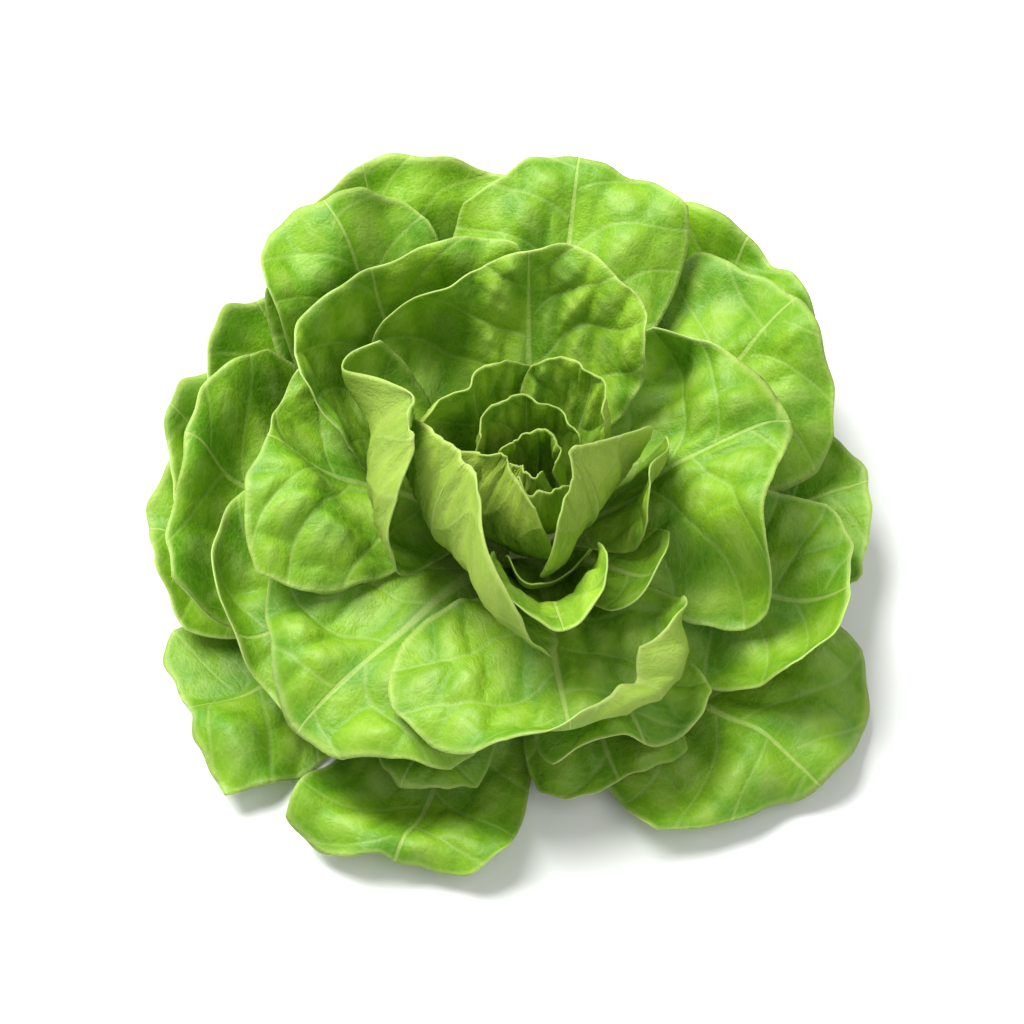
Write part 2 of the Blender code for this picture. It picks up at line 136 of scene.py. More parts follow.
# %% The crown, the blade and the room between leaves
CROWN_HEIGHT = 24.0  # the crown's centre, above the cut face that the head stands on
CROWN_RADIUS = 15.5

# The leaf blade
FOOT_GAP = 1.4  # between the crown and the middle of a leaf's foot; its corners come nearer
BLADE_THICKNESS = 0.8
RIB_THICKNESS = 1.3  # what the midrib adds at the foot of an outer leaf
RIB_HALF_WIDTH = 5.0
FOOT_SPREAD = 30.0  # half of a leaf's azimuth where it clasps the crown
WIDEST_AT = 0.55  # share of the leaf's length at which it is widest
ROUNDNESS = 0.7  # of the outline above the widest place: 0 is square, 1 an ellipse
RIM_CENTRE = 0.35  # how far below the widest place the directions of the rim meet, in half heights
RIM_POWER = 3.2  # of the rounded square that fits the outline above the widest place
FULL_RIB_REACH = 110.0  # a leaf at least this long has the full midrib
RIB_TAPER = 1.3  # power at which the midrib thins towards the tip
BILLOW_ACROSS = 42.0  # from one swelling of the blade to the next, sideways
BILLOW_SLANT = 150.0  # length along the leaf in which the swellings shift by one to the side
BILLOW_ALONG = 54.0  # from one swelling to the next, along the leaf
BILLOW_SHARE = 0.9  # height of a swelling, as a share of the rim's ruffle
BILLOW_START = 0.5  # share of the length by which the swellings have their full height
RIM_START = 0.6  # the same for the ruffles and the curl of the rim
FOLD_SHARPNESS = 8  # power at which a fold grows towards the rim
FLAP_RADIUS = 3.0  # of the bend where a part of the rim is turned over
RAGGED = 0.035  # how much the outline wanders, as a share of the leaf's length
PHASES = (1.3, 2.1, 2.4, 4.1, 1.9, 2.3)  # turn each leaf's shape number into starts of its waves
INNERMOST_FOOT_LEAN = 12.0
OUTERMOST_FOOT_LEAN = 92.0

# The clear space kept between one leaf and the next
FOOT_CLEARANCE = 0.7
RIM_CLEARANCE = 2.4
CLEARANCE_LENGTH = 70.0  # distance over which the first grows into the second
CLEARANCE_START = 0.3  # share of that length where it starts to grow
FLOOR_CLEARANCE = 0.5
OUTLINE_MARGIN = 0.1  # a leaf makes room a little past its own rim, in half widths
FOOT_MARGIN = 0.08
PUSH_MARGIN = 0.35  # and is pushed out as a whole this far past it
FOOT_PUSH_MARGIN = 8.0


def smooth_step(x):
    x = np.clip(x, 0.0, 1.0)
    return x * x * (3.0 - 2.0 * x)


def height_share(along):
    """-1 at the leaf's foot, 0 where it is widest, 1 at its tip."""
    above = (along - WIDEST_AT) / (1.0 - WIDEST_AT)
    below = (along - WIDEST_AT) / WIDEST_AT
    return np.where(along > WIDEST_AT, above, below)


def half_width(leaf, along):
    """The outline below the widest place, as a share of the leaf's spread."""
    foot = FOOT_SPREAD / leaf.spread
    return foot + (1.0 - foot) * smooth_step(along / WIDEST_AT)


def rib(leaf, across, along):
    """How far the midrib stands out of the blade's outer face."""
    distance = CROWN_RADIUS + (leaf.reach - CROWN_RADIUS) * along
    off_centre = across * np.radians(leaf.spread) * distance / RIB_HALF_WIDTH
    height = RIB_THICKNESS * min(1.0, leaf.reach / FULL_RIB_REACH)
    height = height * (1.0 - np.clip(along, 0.0, 1.0)) ** RIB_TAPER
    return height * np.exp(-(off_centre**2))


rib_at_foot = rib(OUTER_LEAVES[0], np.array([0.0]), np.array([0.0]))[0]
print("midrib at the foot of the first outer leaf:", round(float(rib_at_foot), 2), "mm")

# %% [markdown]
# A leaf is shaped by its lean: how far each of its points is tipped from upright. A bulge, a
# ruffle of the rim, a dent or a fold is a small change of the lean, so they simply add up.
# Shape keys or sculpting could do the same by hand. Formulas on arrays of points are chosen
# because all points of a leaf are placed at once, and the same formulas serve every leaf.

# %% The lean of a leaf before it meets its neighbours
def place_on_rim(across, along):
    """Which way a point lies from the blade's middle, 0 towards the tip, and how near the rim."""
    up = height_share(along)
    nearness = (np.abs(across) ** RIM_POWER + np.maximum(up, 0.0) ** RIM_POWER) ** (1.0 / RIM_POWER)
    return np.arctan2(across, up + RIM_CENTRE), nearness


def wished_lean(leaf, rank, across, along):
    """A leaf's lean before it meets the others. across is -1 to 1, along 0 to 1 at the tip."""
    direction, nearness = place_on_rim(across, along)
    nearness = np.minimum(nearness, 1.0 + OUTLINE_MARGIN)
    billow_phase, cross_phase, ruffle_phase, fine_phase = [phase * leaf.shape for phase in PHASES[:4]]
    upward = np.clip(along, 0.0, 1.0)
    foot = INNERMOST_FOOT_LEAN
    foot += (OUTERMOST_FOOT_LEAN - INNERMOST_FOOT_LEAN) * rank / (len(ALL_LEAVES) - 1)
    edge = np.where(across < 0.0, leaf.low, leaf.high) * np.clip(across, -1.0, 1.0) ** 2
    lean = foot + (leaf.lean + edge - foot) * np.sin(np.pi / 2 * upward)
    lean = lean + leaf.belly * np.sin(np.pi * upward)

    distance = CROWN_RADIUS + (leaf.reach - CROWN_RADIUS) * along
    sideways = np.radians(across * leaf.spread) * distance
    billow = np.sin(TURN * (sideways / BILLOW_ACROSS + distance / BILLOW_SLANT) + billow_phase)
    billow = billow * np.sin(TURN * distance / BILLOW_ALONG + cross_phase)
    billow = BILLOW_SHARE * billow * smooth_step(along / BILLOW_START)
    ruffle = np.sin(direction * leaf.waves + ruffle_phase)
    ruffle = ruffle + 0.5 * np.sin(direction * (leaf.waves + 3) + fine_phase)
    rim = smooth_step(along / RIM_START)
    lean = lean + np.degrees(leaf.wave / leaf.reach) * (billow + ruffle * nearness**3 * rim)
    lean = lean + leaf.curl * nearness**5 * rim
    for side, height, half_side, half_height, depth in leaf.dents:
        off = ((across - side) / half_side) ** 2 + ((along - height) / half_height) ** 2
        lean = lean + depth * np.exp(-off)
    return lean


def folded(leaf, across, along):
    """What the folds of the rim add to the lean."""
    direction, nearness = place_on_rim(across, along)
    depth = 0.0
    for middle, half_width_round, degrees in leaf.folds:
        depth = depth + degrees * np.exp(-(((np.degrees(direction) - middle) / half_width_round) ** 2))
    return depth * np.minimum(nearness, 1.0 + OUTLINE_MARGIN) ** FOLD_SHARPNESS


def turned_over(leaf, across, along):
    """Where a point of a flap lies on the blade, and how high above it: across, along, height."""
    height = 0.0
    for middle, half_width_round, start, degrees in leaf.flaps:
        direction, nearness = place_on_rim(across, along)
        distance = CROWN_RADIUS + (leaf.reach - CROWN_RADIUS) * along
        up = height_share(along)
        sideways = np.radians(across * leaf.spread) * distance
        upwards = np.maximum(up, 0.0) * (leaf.reach - CROWN_RADIUS) * (1.0 - WIDEST_AT)
        from_middle = np.hypot(sideways, upwards)
        past = from_middle * (1.0 - start / np.maximum(nearness, start))
        turn = np.radians(degrees) * np.exp(-(((np.degrees(direction) - middle) / half_width_round) ** 2))
        bent = np.minimum(past / FLAP_RADIUS, turn)
        straight = past - bent * FLAP_RADIUS
        out = FLAP_RADIUS * np.sin(bent) + straight * np.cos(bent)
        height = height + FLAP_RADIUS * (1.0 - np.cos(bent)) + straight * np.sin(bent)
        share = 1.0 + (out - past) / np.maximum(from_middle, FLAP_RADIUS)
        across = across * share
        along = np.where(up > 0.0, WIDEST_AT + (along - WIDEST_AT) * share, along)
    return across, along, height


tip_lean = wished_lean(OUTER_LEAVES[0], 0, np.array([0.0]), np.array([1.0]))[0]
print("wished lean at the tip of the first outer leaf:", round(float(tip_lean)), "degrees")

# %% [markdown]
# ## How the leaves make room for each other
#
# In a real head each leaf lies against the one inside it. A physics simulation could press
# them together, but it is slow and never quite the same. Here a chart with rows of distance
# and columns of azimuth holds how far out the head has grown, and each new leaf is pushed out
# by a smooth field until it clears that.

# %% Lay the leaves out
CHART_DISTANCES = np.arange(CROWN_RADIUS, 152.0, 2.0)
CHART_AZIMUTHS = np.arange(0.0, 360.0, 2.0)
EASE_ROWS = 4
EASE_COLUMNS = 5


def spread_out(need):
    """A smooth field that is nowhere less than need: its highest neighbours, averaged."""
    rows, columns = EASE_ROWS, EASE_COLUMNS
    high = np.pad(need, ((rows, rows), (0, 0)), mode="edge")
    high = np.max([high[i : i + len(need)] for i in range(2 * rows + 1)], axis=0)
    high = np.max([np.roll(high, i, axis=1) for i in range(-columns, columns + 1)], axis=0)
    for _ in range(2):
        r, c = rows // 2, columns // 2
        wide = np.pad(high, ((r, r), (0, 0)), mode="edge")
        high = np.mean([wide[i : i + len(need)] for i in range(2 * r + 1)], axis=0)
        high = np.mean([np.roll(high, i, axis=1) for i in range(-c, c + 1)], axis=0)
    return high


def clearance(distance):
    """The clear space between one leaf and the next, at a distance from the crown's centre."""
    grown = smooth_step(distance / CLEARANCE_LENGTH - CLEARANCE_START)
    return FOOT_CLEARANCE + (RIM_CLEARANCE - FOOT_CLEARANCE) * grown


def lay_out(leaves):
    """For each leaf, from the heart outwards, the chart of how far its lean is pushed out."""
    distance, azimuth = np.meshgrid(CHART_DISTANCES, CHART_AZIMUTHS, indexing="ij")
    taken = np.full(distance.shape, -90.0)
    pushes = []
    for rank, leaf in enumerate(leaves):
        turn = (azimuth - leaf.azimuth + 180.0) % 360.0 - 180.0
        across = turn / leaf.spread
        along = (distance - CROWN_RADIUS) / (leaf.reach - CROWN_RADIUS)
        widest = max((1.0 + PUSH_MARGIN) * leaf.spread, FOOT_SPREAD + FOOT_PUSH_MARGIN)
        near = (np.abs(turn) < widest) & (along < 1.0 + PUSH_MARGIN / 2.0)
        lean = wished_lean(leaf, rank, across, along)
        push = spread_out(np.where(near, np.maximum(taken - lean, 0.0), 0.0))
        pushes.append(push)
        lean = lean + push + folded(leaf, across, along)
        inside = np.where(
            along > WIDEST_AT,
            place_on_rim(across, along)[1] < 1.0 + OUTLINE_MARGIN,
            np.abs(across) < half_width(leaf, along) + FOOT_MARGIN,
        )
        room = BLADE_THICKNESS + rib(leaf, across, along) + clearance(distance)
        outer_face = lean + np.degrees(room / distance)
        taken = np.where(inside & near, np.maximum(taken, outer_face), taken)
    return pushes


def read_chart(chart, distance, azimuth):
    """The chart's value between its rows and columns."""
    row = (distance - CHART_DISTANCES[0]) / (CHART_DISTANCES[1] - CHART_DISTANCES[0])
    row = np.clip(row, 0.0, len(CHART_DISTANCES) - 1.001)
    column = (azimuth % 360.0) / (CHART_AZIMUTHS[1] - CHART_AZIMUTHS[0])
    i, j = np.floor(row).astype(int), np.floor(column).astype(int)
    a, b = row - i, column - j
    j, after = j % len(CHART_AZIMUTHS), (j + 1) % len(CHART_AZIMUTHS)
    low = chart[i, j] * (1 - b) + chart[i, after] * b
    high = chart[i + 1, j] * (1 - b) + chart[i + 1, after] * b
    return low * (1 - a) + high * a


PUSHES = lay_out(ALL_LEAVES)
print("largest push:", round(max(float(push.max()) for push in PUSHES), 1), "degrees")

# %% [markdown]
# ## The skin of a leaf
#
# Lettuce leaf grows faster than its veins, so it puffs up between them into blisters, and
# the veins lie in the valleys. Sculpting each blister by hand would take days, and noise
# would put them anywhere. Here each point gets its place in the net of veins: which side
# vein it is near, and how far out along it. The height then rises to a small dome in the
# middle of every mesh of that net.

# %% Blisters between the veins
SIDE_VEIN_SPACING = 17.0  # along the midrib
SIDE_VEIN_SLOPE = 0.62  # what a side vein climbs for each mm out
SIDE_VEIN_BEND = 0.002  # share of that slope which it loses for each mm out
CROSS_VEIN_SPACING = 14.0
NEXT_ROW = 0.37  # share of a mesh by which the net starts later in each row and on each leaf
WANDER_OUT = 3.0  # how far the net is shifted sideways, and the size of the wave that shifts it
WANDER_OUT_SIZE = 60.0
WANDER_UP = 3.5  # the same along the leaf
WANDER_UP_SIZE = 48.0
SIDE_DOME_POWER = 0.6  # powers below 1 make a blister full and the valley at its vein narrow
CROSS_DOME_POWER = 0.7
BLISTER_HEIGHT = 4.5  # of the fullest blister on an inner leaf
MEAN_FULLNESS = 0.68  # of the blisters, as a share of the fullest one
FULLNESS_SWING = 0.32
PUCKER_SIZE = 8.0  # the small creases that cross a blister
PUCKER_SHARE = 0.16
PLAIN_BESIDE_RIB = 7.0  # within this distance of the midrib the blisters are lower


def slow_wave(x, y, shape, size):
    """A smooth wave in both directions, so that no net of veins is regular."""
    a = np.sin(TURN * (0.8 * x + 0.6 * y) / size + 2.1 * shape)
    b = np.sin(TURN * (0.5 * x - 0.9 * y) / (0.7 * size) + 3.7 * shape)
    return 0.6 * a + 0.4 * b


def vein_place(leaf, sideways, distance):
    """Numbers that count the side veins up the leaf and the cross veins out from the midrib."""
    x = sideways + WANDER_OUT * slow_wave(distance, sideways, leaf.shape + 0.5, WANDER_OUT_SIZE)
    y = distance + WANDER_UP * slow_wave(sideways, distance, leaf.shape, WANDER_UP_SIZE)
    climbed = SIDE_VEIN_SLOPE * np.abs(x) * (1.0 - SIDE_VEIN_BEND * np.abs(x))
    side_vein = (y - climbed) / SIDE_VEIN_SPACING + np.where(x > 0.0, 0.5, 0.0) + NEXT_ROW * leaf.shape
    cross_vein = np.abs(x) / CROSS_VEIN_SPACING + NEXT_ROW * np.floor(side_vein) + 0.2
    return x, side_vein, cross_vein


def blister(leaf, sideways, distance):
    """The dome of the skin over the valleys where the veins lie, and how full it is, 0 to 1."""
    x, side_vein, cross_vein = vein_place(leaf, sideways, distance)
    dome = np.abs(np.sin(np.pi * side_vein)) ** SIDE_DOME_POWER
    dome = dome * np.abs(np.sin(np.pi * cross_vein)) ** CROSS_DOME_POWER
    # Each blister has a number of its own, and its sine says how full it is
    blister_number = np.floor(side_vein) * 12.9 + np.floor(cross_vein) * 78.2 + leaf.shape * 3.1
    fullness = MEAN_FULLNESS + FULLNESS_SWING * np.sin(blister_number * 4.37)
    pucker = 1.0 + PUCKER_SHARE * slow_wave(sideways, distance, leaf.shape + 0.3, PUCKER_SIZE)
    dome = dome * pucker / (1.0 + PUCKER_SHARE) * smooth_step(np.abs(x) / PLAIN_BESIDE_RIB)
    return dome, fullness


print("a mesh of the side veins is", SIDE_VEIN_SPACING, "by", CROSS_VEIN_SPACING, "mm")

# %% [markdown]
# The rim of a leaf is thinner than the rest and grows longer than it needs, so it frills.
# A frill is a wave along the rim that dies away inwards within about a centimetre. A Wave or
# Displace modifier would ruffle the whole leaf, so the frill is a formula that counts only
# near the rim. The outline wanders too, less in the small buds, whose rims are nearly round.

# %% The frilled rim
FRILL_HEIGHT = 0.9
FRILL_LENGTH = 17.0
FRILL_GROWTH = 8  # power at which a frill grows towards the rim
ROUND_REACH = 45.0  # the outline of a leaf no longer than this doesn't wander
UNNOTCHED_REACH = 60.0  # and that of a leaf no longer than this has no small notches
RAGGED_GROWS = 30.0  # both have their full size on leaves longer by this much
NOTCH_DEPTHS = (0.14, 0.1)  # of the longer and the shorter notches, as shares of the wandering


def frill(leaf, round_rim, to_rim):
    """How far the frill moves a point out or in: two waves of unlike lengths."""
    waves = round_rim * leaf.reach * math.radians(leaf.spread) / FRILL_LENGTH
    wave = np.sin(TURN * waves / 2.0 + leaf.shape)
    wave = wave + 0.6 * np.sin(TURN * waves * 0.83 + 2.0 * leaf.shape)
    return FRILL_HEIGHT * wave * to_rim**FRILL_GROWTH


def wandering(leaf, across, along):
    """What the outline multiplies the height by: nothing inside, most at the rim."""
    direction, nearness = place_on_rim(across, along)
    wander = np.sin(3.0 * direction + PHASES[4] * leaf.shape)
    wander = wander + 0.7 * np.sin(7.0 * direction + PHASES[5] * leaf.shape)
    wander = wander * RAGGED * smooth_step((leaf.reach - ROUND_REACH) / RAGGED_GROWS)
    for middle, half_width_round, share in leaf.lobes:
        wander = wander + share * np.exp(-(((np.degrees(direction) - middle) / half_width_round) ** 2))
    notches = NOTCH_DEPTHS[0] * np.sin(19.0 * direction + leaf.shape)
    notches = notches + NOTCH_DEPTHS[1] * np.sin(31.0 * direction + 2.0 * leaf.shape)
    wander = wander + RAGGED * notches * smooth_step((leaf.reach - UNNOTCHED_REACH) / RAGGED_GROWS)
    return 1.0 + wander * nearness**3 * smooth_step(along / BILLOW_START)


print("frills:", FRILL_HEIGHT, "mm high,", FRILL_LENGTH, "mm long")

# %% [markdown]
# Now the parts come together. A flat square grid gets the outline of a leaf, the relief of
# the skin is measured on the flat sheet, and only then is the sheet bent to its place. The
# other way round, the veins would slide where the rim is turned over. The relief stands less
# proud where leaves lie close, on small leaves, and on the long leaves of the rim.

# %% A point of the finer leaf
SHEET_WIDEST = 0.75  # share of the leaf's reach at which the flat sheet is widest
RELIEF_STARTS = 8.0  # from the crown
RELIEF_GROWS = 22.0  # and it grows in this length
RIM_BAND = 0.2  # of the half width, where the relief is lower
LOST_AT_RIM = 0.6  # share of the relief
FULL_RELIEF_REACH = 90.0  # a leaf at least this long has the full relief
FLATTER_REACH = 100.0  # but a leaf longer than this is drawn flatter again
FLATTEST_REACH = 115.0
LOST_ON_LONG_LEAVES = 0.4  # share of the relief
MIDRIB_GROOVE = 0.8  # depth
GROOVE_HALF_WIDTH = 2.2
GROOVE_END = 0.9  # share of the leaf's length


def leaf_points(leaf, rank, push, s, t):
    """Points of the blade's inner face for a square of (s, t), and what the finish reads there."""
    up = np.where(t > 0.0, t * np.sqrt(1.0 - ROUNDNESS * s**2 / 2.0), t)
    along = np.where(t > 0.0, WIDEST_AT + (1.0 - WIDEST_AT) * up, WIDEST_AT * (1.0 + t))
    across = s * np.where(t > 0.0, np.sqrt(1.0 - ROUNDNESS * t**2 / 2.0), half_width(leaf, along))
    along = along * wandering(leaf, across, along)

    # The skin's relief, on the flat sheet
    flat = CROWN_RADIUS + FOOT_GAP + (leaf.reach - CROWN_RADIUS) * along
    sideways = across * math.radians(leaf.spread) * np.minimum(flat, SHEET_WIDEST * leaf.reach)
    edge = np.maximum(np.abs(s), np.maximum(t, 0.0))
    grown = smooth_step((flat - CROWN_RADIUS - RELIEF_STARTS) / RELIEF_GROWS)
    inside_rim = 1.0 - LOST_AT_RIM * smooth_step((edge - (1.0 - RIM_BAND)) / RIM_BAND)
    size = min(1.0, leaf.reach / FULL_RELIEF_REACH)
    dome, fullness = blister(leaf, sideways, flat)
    swell = dome * grown * inside_rim
    groove = MIDRIB_GROOVE * np.exp(-((sideways / GROOVE_HALF_WIDTH) ** 2))
    groove = groove * (1.0 - smooth_step(along / GROOVE_END)) * grown
    frills = size**4 * frill(leaf, place_on_rim(across, along)[0], edge) * grown
    numbers = {"sideways": sideways, "flat": flat, "across": across, "along": along}
    numbers.update(edge=edge, swell=swell)

    # The bent sheet
    across, along, height = turned_over(leaf, across, along)
    distance = CROWN_RADIUS + FOOT_GAP + (leaf.reach - CROWN_RADIUS) * along
    azimuth = leaf.azimuth + leaf.spread * across
    lean = wished_lean(leaf, rank, across, along) + read_chart(push, distance, azimuth)
    lean = lean + folded(leaf, across, along) - np.degrees(height / distance)
    longer = (leaf.reach - FLATTER_REACH) / (FLATTEST_REACH - FLATTER_REACH)
    height_left = size * (1.0 - LOST_ON_LONG_LEAVES * smooth_step(longer))
    relief = BLISTER_HEIGHT * height_left * clearance(distance) / RIM_CLEARANCE * swell * fullness
    lean = lean + np.degrees((groove - relief + frills) / distance)
    lowest = CROWN_HEIGHT - FLOOR_CLEARANCE - BLADE_THICKNESS
    floor_lean = 90.0 + np.degrees(np.arcsin(np.clip(lowest / distance, 0.0, 1.0)))
    lean = np.radians(np.minimum(lean, floor_lean))
    turn = np.radians(azimuth)
    x = distance * np.sin(lean) * np.cos(turn)
    y = distance * np.sin(lean) * np.sin(turn)
    z = CROWN_HEIGHT + distance * np.cos(lean)
    return np.stack([x, y, z], axis=1) * MM, numbers


tip, _ = leaf_points(ALL_LEAVES[0], 0, PUSHES[0], np.array([0.0]), np.array([1.0]))
print("tip of the innermost leaf:", [round(float(v), 3) for v in tip[0]])

# %% [markdown]
# ## Colours
#
# Colours are picked as sRGB hex values, as on a screen, and a shader wants linear light, so
# one function turns one into the other. A second small function adds a node with its
# settings and links, so that each material reads from top to bottom.

# %% Helpers for materials
def linear(hex_colour):
    """An sRGB hex colour as linear light, with an alpha of 1."""
    values = [int(hex_colour[i : i + 2], 16) / 255.0 for i in (1, 3, 5)]
    straight = [v / 12.92 if v <= 0.04045 else ((v + 0.055) / 1.055) ** 2.4 for v in values]
    return (*straight, 1.0)


def add_node(tree, kind, settings=None, **inputs):
    """Adds a node. settings are its properties. inputs are values, or (node, output) to link,
    each named for its socket, or i6 for socket number 6 where names are shared."""
    node = tree.nodes.new(kind)
    for key, value in (settings or {}).items():
        setattr(node, key, value)
    for key, value in inputs.items():
        counted = key[0] == "i" and key[1:].isdigit()
        socket = node.inputs[int(key[1:]) if counted else key.replace("_", " ")]
        if isinstance(value, tuple) and isinstance(value[0], bpy.types.Node):
            tree.links.new(value[0].outputs[value[1]], socket)
        else:
            socket.default_value = value
    return node


def new_material(name):
    """A material with an empty node tree."""
    material = bpy.data.materials.new(name)
    material.use_nodes = True
    material.node_tree.nodes.clear()
    return material


print("middle grey in linear light:", round(linear("#808080")[0], 3))

# %% [markdown]
# ## Leaf skin
#
# Living leaf is a thin wet tissue under a waxy cuticle. Light goes through it and comes out
# yellow-green on the other side, and the wax gives a soft broad gloss. Subsurface scattering
# could do this on a thick solid, but a leaf is half a millimetre thick, so a translucent
# shader mixed with a glossy one is truer and quicker. The finish is made in three steps: the
# tissue, the veins, and the skin that holds them.
#
# The tissue between the veins comes first. Young leaves in the heart are yellower, because
# little light has reached them. A painted highlight makes the tissue paler on a blister, and
# painted shade makes it deeper green in the valleys. Every point carries these as attributes,
# so that the colours follow the leaf wherever it bends.

# %% Leaf tissue
SHEET_UNIT = 100.0  # mm in one unit of the sheet's UV map
PATCH_SIZE = 20.0
COLOUR_MIX = {"data_type": "RGBA"}
SMOOTH = {"interpolation_type": "SMOOTHSTEP"}
FLAT = {"noise_dimensions": "2D"}


def repeats(size):
    """The scale at which a texture on the sheet has features of this size in millimetres."""
    return SHEET_UNIT / size


def leaf_tissue(tree, sheet, old, young, shade, pale):
    """The colour between the veins, as the last of the nodes that mix it."""
    youth = add_node(tree, "ShaderNodeAttribute", {"attribute_name": "youth"})
    swell = add_node(tree, "ShaderNodeAttribute", {"attribute_name": "swell"})
    tissue = add_node(tree, "ShaderNodeMix", COLOUR_MIX, i0=(youth, 2), i6=linear(old), i7=linear(young))
    # Soft darker patches
    patch = add_node(
        tree, "ShaderNodeTexNoise", FLAT, Vector=(sheet, 0), Scale=repeats(PATCH_SIZE), Detail=3.0
    )
    patches = add_node(
        tree, "ShaderNodeMapRange", {},
        Value=(patch, 0), From_Min=0.42, From_Max=0.68, To_Min=0.0, To_Max=0.6,
    )
    tissue = add_node(tree, "ShaderNodeMix", COLOUR_MIX, i0=(patches, 0), i6=(tissue, 2), i7=linear(shade))
    # Painted shade in the valleys, and then a painted highlight on the domes
    painted_valley_shade = add_node(
        tree, "ShaderNodeMapRange", SMOOTH,
        Value=(swell, 2), From_Min=0.0, From_Max=0.4, To_Min=0.28, To_Max=0.0,
    )
    tissue = add_node(tree, "ShaderNodeMix", COLOUR_MIX, i0=(painted_valley_shade, 0), i6=(tissue, 2), i7=linear(shade))
    # Painted highlight: the tissue turns paler towards the top of each blister
    dome = add_node(
        tree, "ShaderNodeMapRange", SMOOTH,
        Value=(swell, 2), From_Min=0.35, From_Max=0.95, To_Min=0.0, To_Max=0.17,
    )
    return add_node(tree, "ShaderNodeMix", COLOUR_MIX, i0=(dome, 0), i6=(tissue, 2), i7=linear(pale))


print("patches in the tissue:", PATCH_SIZE, "mm wide, texture scale", repeats(PATCH_SIZE))

# %% [markdown]
# Then the veins. A side vein lies where the count of side veins, which every point carries,
# is a whole number, so the lines run in the valleys. The midrib lies along the middle of the
# sheet. The rest is a net of fine veins. A picture of a leaf would repeat, and a Noise
# texture gives spots, so the net is the borders between the cells of a Voronoi texture, once
# with cells about 6 mm wide and once with cells of about 2.4 mm.

# %% Leaf veins
CELL_BORDERS = {"voronoi_dimensions": "2D", "feature": "DISTANCE_TO_EDGE"}
VEIN_NETS = ((6.25, 0.14, 0.16), (2.381, 0.2, 0.1))  # cell size in mm, border in cells, strength
RIB_LINE_WIDTHS = (2.6, 0.35)  # mm to each side of the middle, at the foot and at the tip


def leaf_veins(tree, sheet):
    """How much of a vein each point is, 0 to 1, as the last of the nodes that work it out."""
    along = add_node(tree, "ShaderNodeAttribute", {"attribute_name": "along"})
    side_vein = add_node(tree, "ShaderNodeAttribute", {"attribute_name": "side_vein"})
    midrib = add_node(tree, "ShaderNodeAttribute", {"attribute_name": "from_midrib"})
    part = add_node(tree, "ShaderNodeMath", {"operation": "FRACT"}, i0=(side_vein, 2))
    off = add_node(tree, "ShaderNodeMath", {"operation": "SUBTRACT"}, i0=(part, 0), i1=0.5)
    off = add_node(tree, "ShaderNodeMath", {"operation": "ABSOLUTE"}, i0=(off, 0))
    side_line = add_node(
        tree, "ShaderNodeMapRange", SMOOTH,
        Value=(off, 0), From_Min=0.42, From_Max=0.5, To_Min=0.0, To_Max=0.4,
    )
    # The midrib, broad at the foot and fine towards the tip
    width = add_node(
        tree, "ShaderNodeMapRange", {},
        Value=(along, 2), From_Min=0.1, From_Max=1.0,
        To_Min=RIB_LINE_WIDTHS[0], To_Max=RIB_LINE_WIDTHS[1],
    )
    off_rib = add_node(tree, "ShaderNodeMath", {"operation": "DIVIDE"}, i0=(midrib, 2), i1=(width, 0))
    rib_line = add_node(
        tree, "ShaderNodeMapRange", SMOOTH,
        Value=(off_rib, 0), From_Min=0.4, From_Max=1.3, To_Min=0.75, To_Max=0.0,
    )
    lines = add_node(tree, "ShaderNodeMath", {"operation": "MAXIMUM"}, i0=(side_line, 0), i1=(rib_line, 0))
    for cell, border, strength in VEIN_NETS:
        net = add_node(tree, "ShaderNodeTexVoronoi", CELL_BORDERS, Vector=(sheet, 0), Scale=repeats(cell))
        net_line = add_node(
            tree, "ShaderNodeMapRange", SMOOTH,
            Value=(net, 0), From_Min=0.0, From_Max=border, To_Min=strength, To_Max=0.0,
        )
        lines = add_node(tree, "ShaderNodeMath", {"operation": "MAXIMUM"}, i0=(lines, 0), i1=(net_line, 0))
    return lines


print("nets of fine veins, texture scales:", [round(repeats(net[0]), 1) for net in VEIN_NETS])

# %% [markdown]
# Last comes the skin. The foot of a leaf is pale, and so is a band just inside its rim. The
# crinkle of the skin, the veins and the grain of the wax are too fine for the mesh, so they
# are bump, over the larger forms that the mesh has. The upper face is fresh green with a
# satin gloss and sunken veins. The underside is paler and a little more matte, with the
# veins standing out.

# %% Leaf skin, both faces
CRINKLE_SIZE = 5.0  # soft creases of the skin
CRINKLE_DEPTH = 1.2
GRAIN_SIZE = 0.7143  # of the wax
GRAIN_DEPTH = 0.3


